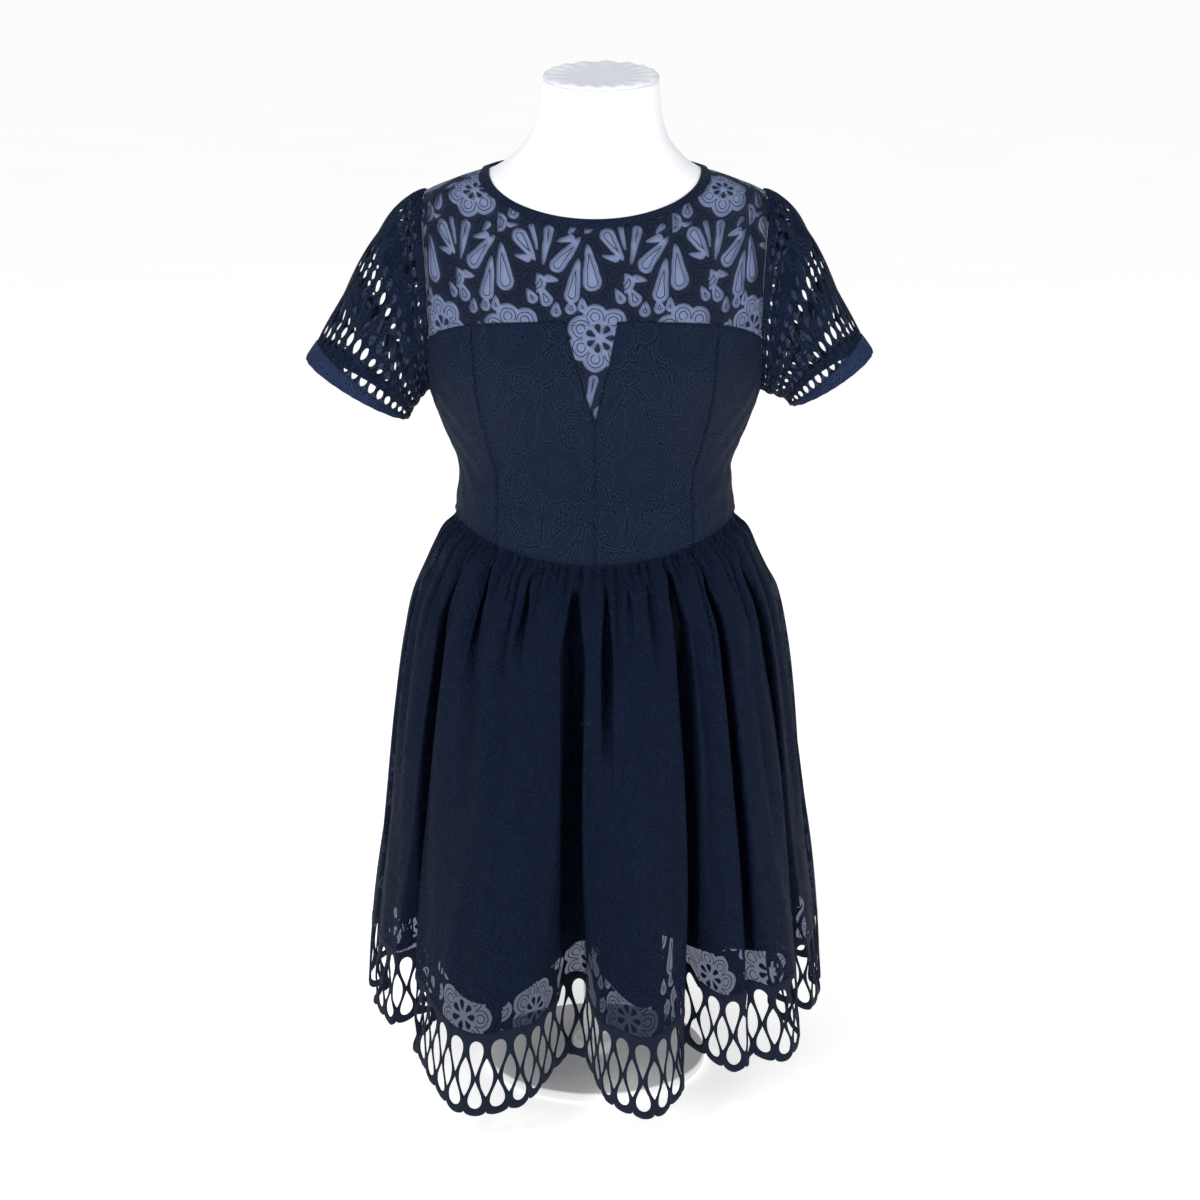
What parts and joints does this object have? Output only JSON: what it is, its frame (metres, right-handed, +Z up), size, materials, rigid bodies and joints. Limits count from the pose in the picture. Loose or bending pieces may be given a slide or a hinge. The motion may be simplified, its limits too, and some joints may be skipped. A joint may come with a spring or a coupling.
{
  "type": "cocktail dress on a dress form",
  "caption": "Short-sleeved fit-and-flare cocktail dress of navy embroidered lace with a sheer yoke and openwork hem, on a white dress form.",
  "frame": {"origin": "centre of the part's box at floor level, 6 mm to the -X side of the pole's axis and 21 mm in front of it", "axes": "+Z up, -Y the front of the dress, +X the viewer's right when facing the front"},
  "size_m": [0.568, 0.4606, 1.0544],
  "materials": {
    "embroidery": "navy floral embroidery on organza over a navy lining, matt with a slight sheen",
    "sheer": "navy embroidered organza with no lining, part sheer",
    "cord": "dense navy corded stitching, matt",
    "lining": "plain navy woven lining, smooth",
    "form_cover": "white jersey cover, matt",
    "stand": "white paint, satin"
  },
  "bodies": {
    "root": {"yoke_front": "sheer", "yoke_back_left": "sheer", "yoke_back_right": "sheer", "front_centre_left": "embroidery", "front_centre_right": "embroidery", "front_side_left": "embroidery", "front_side_right": "embroidery", "back_left": "embroidery", "back_right": "embroidery", "neck_binding": "cord", "sleeve_left_front": "embroidery", "sleeve_left_back": "embroidery", "cuff_left": "cord", "sleeve_right_front": "embroidery", "sleeve_right_back": "embroidery", "cuff_right": "cord", "skirt_front": "embroidery", "skirt_back": "embroidery", "hem_border_front": "cord", "hem_border_back": "cord", "skirt_lining": "lining", "form_torso": "form_cover", "form_neck_cap": "stand", "form_pole": "stand", "form_base": "stand"}
  },
  "joints": []
}
